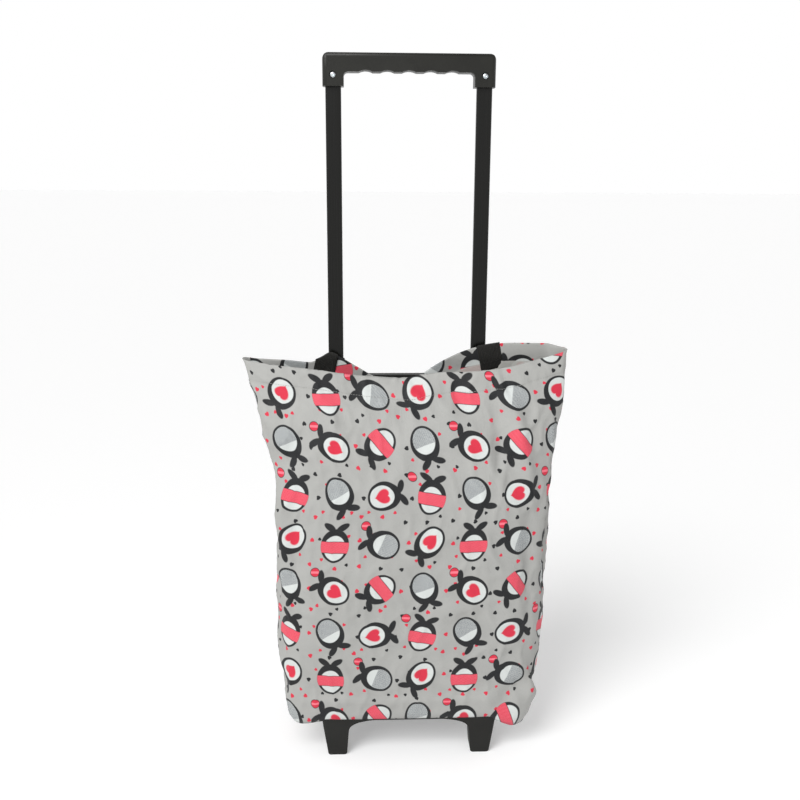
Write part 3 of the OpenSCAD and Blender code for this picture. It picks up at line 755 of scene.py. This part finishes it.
def in_front(points):
    """1 on the front of the bag's lower edge and 0 round its ends and back."""
    return np.clip((FRONT_Y + 14 * MM - points[..., 1]) / (12 * MM), 0, 1)


# How far the front's lower edge hangs past the top of the deck, in mm, against x
FRONT_DROP = [(-0.175, 7), (-0.150, 10.5), (-0.138, 9), (-0.122, 5.5), (-0.105, 3.4), (0.105, 3.4),
              (0.120, 9.0), (0.132, 14.5), (0.142, 18.0), (0.153, 17), (0.170, 12)]


def eased(share):
    share = np.clip(share, 0, 1)
    return share**2 * (3 - 2 * share)


def past_deck(x):
    """0 where the deck carries the bag's floor, 1 well past its ends."""
    return eased((np.abs(x) - 0.121) / 0.034)


def edge_drop(x, y):
    """How far the bag's lower edge hangs below the top of the deck."""
    front = eased((-0.02 - y) / 0.05)
    behind = np.where(x > 0, 7.0, 2.4) * past_deck(x)
    return (through(x, FRONT_DROP) * front + behind * (1 - front)) * MM


# ---------- Cloth simulation ----------

def drape(wall, rows, frames=26, reach=6 * MM):
    """Lets the wall settle as cloth, held by its back, rim and base; no point moves further than reach."""
    before = rows.reshape(-1, 3)
    hold = np.full(rows.shape[:2], 0.03)
    hold[:5] = 1.0
    hold[-HEM_ROWS:] = 0.35
    hold[rows[..., 1] > BACK_Y - 8 * MM] = 1.0
    group = wall.vertex_groups.new(name="hold")
    for weight in np.unique(hold):
        group.add([int(i) for i in np.flatnonzero(hold.ravel() == weight)], float(weight), "REPLACE")
    cloth = wall.modifiers.new("cloth", "CLOTH")
    adjust(cloth.settings, vertex_group_mass="hold", pin_stiffness=0.6, quality=5, mass=0.12,
           tension_stiffness=14.0, compression_stiffness=14.0, shear_stiffness=5.0,
           bending_stiffness=0.25, shrink_min=-0.022)
    cloth.collision_settings.use_collision = False
    scene = bpy.context.scene
    scene.frame_start, scene.frame_end = 1, frames
    for frame_number in range(1, frames + 1):
        scene.frame_set(frame_number)
    graph = bpy.context.evaluated_depsgraph_get()
    settled = wall.evaluated_get(graph).to_mesh()
    after = np.empty(len(settled.vertices) * 3)
    settled.vertices.foreach_get("co", after)
    wall.modifiers.clear()
    wall.vertex_groups.clear()
    scene.frame_set(1)
    move = after.reshape(-1, 3) - before
    far = np.linalg.norm(move, axis=1, keepdims=True)
    move *= np.minimum(1.0, reach * np.tanh(far / reach) / (far + 1e-12))
    return (before + move).reshape(rows.shape)


def smooth_rows(rows, times):
    """Evens out the finest wobble of the draped wall."""
    for _ in range(times):
        blurred = (np.roll(rows, 1, 1) + np.roll(rows, -1, 1) + 2 * rows) / 4
        inner = (blurred[:-2] + blurred[2:] + 2 * blurred[1:-1]) / 4
        rows = np.concatenate([rows[:1], inner, blurred[-1:]])
    return rows


# ---------- The bag ----------

# Rows of the floor side of the lower edge: how far in they lie, in mm, and their share of the edge's drop
UNDER = ((22, 0.45), (9, 0.75), (2.0, 0.95), (0.7, 0.96))
BACK_LIP = 4.5  # how far in the edge turns at the back, in mm, where the foot plate folds past it
BACK_SAG = 0.7 * MM  # and how far it sags there
BACK_PANEL = 0.232  # flat place where the back panel's seams run, each side of the front's middle


def bag_materials():
    return [MATERIALS["printed_fabric"], MATERIALS["fabric_reverse"],
            MATERIALS["printed_fabric"], MATERIALS["printed_fabric"]]


def lay_flat(bag, columns, row_heights, flat_u):
    """Writes the flat coordinates, cell by cell, so that the print runs right round."""
    layer = bag.data.uv_layers.new(name="flat")
    places = np.zeros((len(bag.data.loops), 2))
    step = GIRTH / columns
    for face in bag.data.polygons:
        j, i = divmod(face.index, columns)
        back = abs(flat_u[i] + step / 2) > BACK_PANEL
        for loop, (dj, di) in zip(face.loop_indices, ((0, 0), (0, 1), (1, 1), (1, 0))):
            places[loop] = (flat_u[i] + di * step, row_heights[j + dj, (i + di) % columns])
            if back:
                places[loop] += (0.027 + (GIRTH if flat_u[i] < 0 else 0.0), 0.041)
    layer.data.foreach_set("uv", places.ravel())


def fold_with_bag(made):
    """The bag's wall and the trim on it stay with the frame, each with a mesh of its own."""
    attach(made, "frame")
    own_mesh(made)


def build_bag():
    rows, flat_u, heights = shaped_wall()
    wall = make_object("wall", rows.reshape(-1, 3), ring_faces(len(rows), AROUND), [])
    rows = drape(wall, rows)
    rows[5:-1] = smooth_rows(rows[4:], 1)[1:-1]
    bpy.data.objects.remove(wall)
    rows, heights = doubled(rows), doubled(heights)
    columns = rows.shape[1]
    flat_u = (np.arange(columns) / columns - 0.5) * GIRTH
    hem_row = 2 * BODY_ROWS
    free = np.where(rows[..., 1] > BACK_Y - 10 * MM, 0.25, 1.0) * np.clip(heights / 0.02, 0, 1)
    u = flat_u[None, :]
    push = (CREASE_DEPTH * fold_push(u, heights, CREASES) + crinkle(u, heights)) * free
    push = np.where(free < 0.3, np.minimum(push, 0), push) * (1 - room_for_deck(rows))
    rows += outward(rows) * push[..., None]
    drop = edge_drop(rows[..., 0], rows[..., 1])
    rows[..., 2] -= drop * np.clip(1 - heights / 0.05, 0, 1) ** 2
    # Two layers make the hem stand out a little, and the stitching puckers it
    hem = np.clip((heights - heights[hem_row]) / (1.5 * MM), 0, 1)
    pucker = np.sin(flat_u * 2 * np.pi / 0.0121 + 2.1 * np.sin(flat_u * 31)) * np.sin(flat_u * 57 + 1.0)
    near = np.exp(-((heights - heights[hem_row]) / (7 * MM)) ** 2)
    pucker = pucker * np.where(rows[..., 1] > BACK_Y - 8 * MM, 0.1, 1.0)
    rows += outward(rows) * (0.35 * MM * hem + 0.6 * MM * near * pucker)[..., None]
    # The floor side of the rolled edge
    under = []
    folding = room_for_deck(rows)[0]
    for inset, share in UNDER:
        reach = inset * (1 - folding) + min(inset, BACK_LIP) * folding
        ring = rows[0] - outward(rows)[0] * reach[:, None] * MM
        ring[:, 2] = BASE_Z - share * drop[0] * np.maximum(past_deck(ring[:, 0]), float(inset < 1))
        ring[:, 2] -= BACK_SAG * folding * min(1.0, inset / BACK_LIP)
        under.append(ring)
    every = np.concatenate([np.array(under), rows])
    every_height = np.concatenate([[np.full(columns, -(inset + 2) * MM) for inset, _ in UNDER], heights])
    bag = make_object("bag_shell", every.reshape(-1, 3), ring_faces(len(every), columns), bag_materials())
    lay_flat(bag, columns, every_height, flat_u)
    first_hem_face = (len(UNDER) + hem_row) * columns
    for face in bag.data.polygons:
        face.material_index = 2 if face.index >= first_hem_face else 0
    thicken(bag, material_offset_rim=0)
    fold_with_bag(bag)
    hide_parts("bag_front", "bag_back", "bag_side_left", "bag_side_right")
    return rows, flat_u


THREAD_SIDES = 6
THREAD_LIFT = 0.12 * MM  # how proud of the cloth a line of stitching lies


def welt(name, points, normals, width, height):
    """The turned edge of a seam, along a line of points."""
    along = np.gradient(points, axis=0)
    side = np.cross(unit(along), normals)
    profile = [(-0.5, -0.2), (-0.4, 0.6), (-0.12, 1.0), (0.12, 1.0), (0.4, 0.6), (0.5, -0.2)]
    rings = np.stack([points + side * across * width + normals * up * height for across, up in profile], 1)
    count = len(profile)
    faces = ring_faces(len(points), count)
    faces += [face[::-1] for face in end_faces(len(points), count)]
    made = make_object(name, rings.reshape(-1, 3), faces, [MATERIALS["printed_fabric"]])
    layer = made.data.uv_layers.new(name="flat")
    for loop in made.data.loops:
        j, i = divmod(loop.vertex_index, count)
        layer.data[loop.index].uv = (i / count * width * 2, j * 2.5 * MM)
    fold_with_bag(made)


def dashes(points, normals, pitch, length, radius, base=0):
    """Thread dashes along a line of points, each bowed a little proud of the cloth, as a mesh."""
    points, normals = np.array(points), np.array(normals)
    travel = travelled(points)
    vertices, faces = [], []
    # Share of the dash's length, how proud it lies and how thick it is, both in radii
    stations = ((0.0, -0.5, 0.5), (0.18, 0.5, 1.0), (0.5, 0.8, 1.0), (0.82, 0.5, 1.0), (1.0, -0.5, 0.5))
    turn = np.arange(THREAD_SIDES) * 2 * np.pi / THREAD_SIDES

    def along(line, at):
        return np.array([np.interp(at, travel, line[:, k]) for k in range(3)])

    for start in np.arange(0, travel[-1] - length, pitch):
        first = base + len(vertices)
        for share, lift, fat in stations:
            at = start + share * length
            p, n = along(points, at), unit(along(normals, at))
            side = np.cross(unit(along(points, at + 1 * MM) - p), n)
            for a in turn:
                high = lift * radius + fat * radius * np.sin(a)
                vertices.append(p + n * high + side * fat * radius * np.cos(a))
        rings = (len(stations), THREAD_SIDES, first)
        faces += ring_faces(*rings) + end_faces(*rings)
    return vertices, faces


def wall_normals(rows):
    """Unit normals of the wall's points, out of the bag."""
    around = np.roll(rows, -1, 1) - np.roll(rows, 1, 1)
    up = np.gradient(rows, axis=0)
    return facing_out(np.cross(around, up), rows)


def sew_line(name, line, facing, pitch, length):
    """A line of grey stitching on the bag's wall."""
    mesh = dashes(line + facing * THREAD_LIFT, facing, pitch, length, 0.22 * MM)
    fold_with_bag(make_object(name, *mesh, [MATERIALS["grey_thread"]]))


def trim_bag(rows, flat_u):
    """Hem stitching, and the welted seams that join the back panel to the wrap-round front."""
    normal = wall_normals(rows)
    columns, hem_row = rows.shape[1], 2 * BODY_ROWS
    ring = list(range(columns)) + [0]
    sew_line("hem_stitching", rows[hem_row, ring], normal[hem_row, ring], 3.4 * MM, 2.5 * MM)
    for side, name in ((-1, "left"), (1, "right")):
        i = int(np.argmin(np.abs(flat_u + GIRTH / columns / 2 - side * BACK_PANEL)))
        i = (i + (1 if side > 0 else 0)) % columns
        k = (i + 2 * side) % columns
        line, facing = rows[SEAM_START:], normal[SEAM_START:]
        welt("side_welt_" + name, line[:, i], facing[:, i], 3.2 * MM, 1.1 * MM)
        sew_line("side_stitching_" + name, line[:, k], facing[:, k], 3.6 * MM, 2.6 * MM)


def build_floor_cloth(rows):
    """The bag's floor, riveted between the deck and the board; it folds up with the foot plate."""
    edge = rows[0]
    inset = edge - outward(rows)[0] * 1.0 * MM
    steps = np.linspace(0, 1, 30)
    columns = len(edge)
    quarter, half = columns // 4, columns // 2
    left_to_right = []
    front = inset[quarter: quarter + half + 1]  # left end, round the front, to the right end
    back = inset[[(quarter - k) % columns for k in range(half + 1)]]
    for k in range(half + 1):
        a, b = front[k], back[k]
        b = np.array([b[0], min(b[1], BACK_Y - 5 * MM), b[2]])
        if 53 * MM < abs(a[0]) < 75 * MM:
            b[1] = min(b[1], 16.5 * MM)  # clear of the chassis's hinge ears
        left_to_right.append([a + (b - a) * s for s in steps])
    sheet = np.array(left_to_right)
    x, y = sheet[..., 0], sheet[..., 1]
    sheet[..., 2] = BASE_Z + 0.9 * MM - 0.5 * past_deck(x) * edge_drop(x, y)
    columns = len(steps)
    faces = [(j * columns + i, j * columns + i + 1, (j + 1) * columns + i + 1, (j + 1) * columns + i)
             for j in range(half) for i in range(columns - 1)]
    floor = make_object("bag_floor", sheet.reshape(-1, 3), faces, bag_materials()[:2])
    layer = floor.data.uv_layers.new(name="flat")
    for loop in floor.data.loops:
        p = floor.data.vertices[loop.vertex_index].co
        layer.data[loop.index].uv = (p.x, p.y - 0.06)
    if floor.data.polygons[0].normal.z > 0:
        floor.data.flip_normals()
    thicken(floor)
    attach(floor, "foot")
    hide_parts("bag_bottom")


# ---------- Webbing ----------

def strap(name, centre, across, facing, width, thick):
    """Webbing along a line: at each point, a direction across it and the way its face looks."""
    centre, across, facing = np.array(centre), np.array(across), np.array(facing)
    shares = np.linspace(-0.5, 0.5, 13)
    sheet = centre[:, None] + across[:, None] * (shares * width)[None, :, None]
    face_side = sheet + facing[:, None] * thick / 2
    back_side = (sheet - facing[:, None] * thick / 2)[:, ::-1]
    # Selvedges are thinner than the middle
    face_side[:, [0, -1]] -= facing[:, None] * thick * 0.3
    back_side[:, [0, -1]] += facing[:, None] * thick * 0.3
    rings = np.concatenate([face_side, back_side], 1)
    size = rings.shape[1]
    faces = ring_faces(len(centre), size) + end_faces(len(centre), size)
    made = make_object(name, rings.reshape(-1, 3), faces, [MATERIALS["webbing"]])
    travel = travelled(centre)
    u = np.concatenate([shares, shares[::-1]]) * width
    layer = made.data.uv_layers.new(name="flat")
    for loop in made.data.loops:
        j, i = divmod(loop.vertex_index, size)
        layer.data[loop.index].uv = (u[i], travel[j])
    return made


def loop_path(side):
    """Line of the band round the tube, seen from above, from its ends on the back panel."""
    r, w, d, front = 4.5, 11.4, 6.2, 9.4
    corner = np.radians((0, 25, 50, 75, 90))
    half = [(3, -front), (w - 3, -front + 0.2), (w - 0.6, -front + 1.6), (w, -front + 4), (w, d - r)]
    half += [(w - r + r * math.cos(a), d - r + r * math.sin(a)) for a in corner[1:]]
    points = [(-x, y) for x, y in half] + [(0, d)] + half[::-1]
    return [(side * TUBE_X * 1000 + x, TUBE_Y * 1000 + y) for x, y in points]


def fine(points, step=1.2):
    """More points along a bent line, eased through its corners."""
    points = np.array(points, float)
    travel = travelled(points)
    at = np.linspace(0, travel[-1], int(travel[-1] / step))
    line = np.stack([np.interp(at, travel, points[:, k]) for k in range(points.shape[1])], 1)
    for _ in range(2):
        line[1:-1] = (line[:-2] + 2 * line[1:-1] + line[2:]) / 4
    return line


BAND_Z = 517.6 * MM
PATCH_LENGTH = 34.0  # of the patch inside the bag, in mm
PATCH_LEAN = 0.2  # how far it slants outwards, for each mm down


def build_loop(side, name):
    """The webbing that hangs the bag on a tube: a band round the tube and a patch over the rim."""
    flat_line = fine(loop_path(side)) * MM
    centre = np.concatenate([flat_line, np.full((len(flat_line), 1), BAND_Z)], 1)
    along = unit(np.gradient(centre, axis=0))
    up = np.tile([0.0, 0.0, 1.0], (len(centre), 1))
    band = strap("loop_band_" + name, centre, up, np.cross(along, up), 17 * MM, 1.3 * MM)
    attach(band, "frame")
    # The patch: up the inside of the back panel, over the rim and down the outside
    rim_x = side * (TUBE_X + 12 * MM)
    rim_z = float(through(rim_x, BACK_RIM))
    inner, outer = BACK_Y - 1.9 * MM, BACK_Y + 1.0 * MM
    middle, half = (inner + outer) / 2, (outer - inner) / 2
    over = np.radians(np.arange(0, 181, 22.5))
    path = [(inner, rim_z - d * MM) for d in np.linspace(PATCH_LENGTH, 2, 14)]
    path += [(middle - half * math.cos(a), rim_z - 0.5 * MM + half * math.sin(a)) for a in over]
    path += [(outer, rim_z - d * MM) for d in np.linspace(2, 22, 9)]
    centre, across, facing = [], [], []
    for k, (y, z) in enumerate(path):
        centre.append((rim_x + side * PATCH_LEAN * (rim_z - z) * (1 if k < 16 else 0.4), y, z))
        across.append((1.0, 0.0, side * PATCH_LEAN * 0.9 if k < 15 else 0.0))
        turn = min(max((y - inner) / (outer - inner), 0), 1) * math.pi
        facing.append((0.0, -math.cos(turn), math.sin(turn)))
    patch = strap("loop_patch_" + name, centre, across, facing, 30 * MM, 1.2 * MM)
    follow_rim(patch, rim_z)
    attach(patch, "frame")
    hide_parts("tube_loop_" + name)
    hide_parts("tube_loop_" + name)
    sewn = sew_box("loop_stitching_" + name, centre[1:13], across[1:13], facing[1:13], 24 * MM, 0.8 * MM)
    follow_rim(sewn, rim_z)
    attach(sewn, "frame")


def follow_rim(made, rim_z):
    """Raises or lowers each point by how far the rim above it is from rim_z."""
    for vertex in made.data.vertices:
        rise = float(through(vertex.co.x, BACK_RIM)) - rim_z
        share = np.clip(1 - (rim_z - vertex.co.z) / 0.05, 0, 1)
        vertex.co.z += rise * share
        vertex.co.y -= float(lean_in(vertex.co.z))
    made.data.update()


def sew_box(name, centre, across, facing, width, lift):
    """A stitched box with a cross in it, on the patch's inner face."""
    centre, across, facing = np.array(centre), np.array(across), np.array(facing)

    def at(share_up, share_across):
        k = share_up * (len(centre) - 1)
        i = min(int(k), len(centre) - 2)
        p = centre[i] + (centre[i + 1] - centre[i]) * (k - i)
        return p + across[i] * share_across * width + facing[i] * lift

    corners = [(0.3, -0.42), (0.3, 0.42), (0.97, 0.42), (0.97, -0.42)]
    lines = [(corners[k], corners[(k + 1) % 4]) for k in range(4)]
    lines += [(corners[0], corners[2]), (corners[1], corners[3])]
    vertices, faces = [], []
    for a, b in lines:
        points = [at(a[0] + (b[0] - a[0]) * s, a[1] + (b[1] - a[1]) * s) for s in np.linspace(0, 1, 12)]
        mesh = dashes(points, [facing[0]] * 12, 2.6 * MM, 2.0 * MM, 0.2 * MM, len(vertices))
        vertices += mesh[0]
        faces += mesh[1]
    return make_object(name, vertices, faces, [MATERIALS["black_thread"]])


# ---------- Rivets ----------

def turned(name, profile, places, material):
    """Solids turned about Y: profile is (distance along Y, radius) in mm, from end to end."""
    sides = 40
    vertices, faces = [], []
    for place in places:
        base = len(vertices)
        for y, r in profile:
            for k in range(sides):
                a = 2 * math.pi * k / sides
                around = Vector((r * math.cos(a), y, r * math.sin(a))) * MM
                vertices.append(Vector(place) + around)
        turned_faces = ring_faces(len(profile), sides, base) + end_faces(len(profile), sides, base)
        faces += [face[::-1] for face in turned_faces]
    return make_object(name, vertices, faces, [material])


def build_handle_rivets():
    low, high = box("handle_rivets")
    half = (high.y - low.y) / 2 * 1000
    middle_y, z = (low.y + high.y) / 2, (low.z + high.z) / 2
    radius = (high.z - low.z) / 2 * 1000
    shank, rise = 2.0, 1.25
    turn = np.radians((0.5, 12, 26, 42, 58, 74, 90))
    dome = [(half - rise * (1 - math.cos(a)), radius * math.sin(a)) for a in turn]
    dimple = [(dome[0][0] - 0.35, 0.05), (dome[0][0] - 0.3, 0.7), (dome[0][0] - 0.02, 1.0)]
    end = dimple + dome[2:] + [(half - 1.3, radius * 0.97), (half - 1.35, shank)]
    profile = end + [(-y, r) for y, r in reversed(end)]
    places = [(side * TUBE_X, middle_y, z) for side in (-1, 1)]
    made = turned("handle_rivet_pair", profile, places, MATERIALS["zinc"])
    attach(made, "handle")
    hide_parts("handle_rivets")


rows, flat_u = build_bag()
trim_bag(rows, flat_u)
build_floor_cloth(rows)
for side, name in ((-1, "left"), (1, "right")):
    build_loop(side, name)
build_handle_rivets()
dress_frame()


# ---------- Floor, light and camera ----------

def build_stage():
    reach = 60
    corners = [(-reach, -reach, 0), (reach, -reach, 0), (reach, reach, 0), (-reach, reach, 0)]
    floor = make_object("studio_floor", corners, [(0, 1, 2, 3)], [])
    s = Shader("studio floor", Base_Color=srgb(225, 225, 225), Roughness=0.9, Specular_IOR_Level=0.1,
               Emission_Color=(1.0, 1.0, 1.0, 1.0), Emission_Strength=0.3)
    floor.data.materials.append(s.finish())
    world = bpy.data.worlds.new("studio")
    world.use_nodes = True
    tree = world.node_tree
    background = tree.nodes["Background"]
    background.inputs[0].default_value = (1, 1, 1, 1)
    # White near the horizon, and dimmer overhead so that the key light shapes the cloth
    split = tree.nodes.new("ShaderNodeSeparateXYZ")
    tree.links.new(tree.nodes.new("ShaderNodeTexCoord").outputs["Generated"], split.inputs[0])
    fade = tree.nodes.new("ShaderNodeMapRange")
    for socket, value in (("From Min", 0.22), ("From Max", 0.6), ("To Min", 1.0), ("To Max", 0.4)):
        fade.inputs[socket].default_value = value
    tree.links.new(split.outputs[2], fade.inputs["Value"])
    tree.links.new(fade.outputs[0], background.inputs[1])
    bpy.context.scene.world = world


def add_light(name, kind, place, aim, energy, **settings):
    light = adjust(bpy.data.lights.new(name, kind), energy=energy, **settings)
    turn = (Vector(aim) - Vector(place)).to_track_quat("-Z", "Y").to_euler()
    adjust(put_in_scene(name, light), location=place, rotation_euler=turn)


FOCAL_LENGTH = 929.1  # in the pixels of an image 800 wide


def build_camera():
    data = adjust(bpy.data.cameras.new("camera"), sensor_width=36.0, clip_start=0.05, clip_end=50.0)
    data.lens = data.sensor_width * FOCAL_LENGTH / 800
    camera = put_in_scene("camera", data)
    camera.location = (-62.7 * MM, -1202.7 * MM, 766.7 * MM)
    camera.rotation_euler = (math.radians(90 - 13.47), math.radians(-0.31), math.radians(-2.37))
    bpy.context.scene.camera = camera


build_stage()
# A broad far light that falls evenly on the whole floor, and a near softbox over the bag's mouth
add_light("key", "SUN", (-1.05, -1.25, 1.8), (0, 0, 0.3), 1.75, angle=math.radians(34))
add_light("top", "AREA", (-0.35, -0.75, 1.35), (0, 0, 0.45), 4.2, shape="SQUARE", size=0.5)
build_camera()
bpy.context.scene.view_settings.view_transform = "Standard"
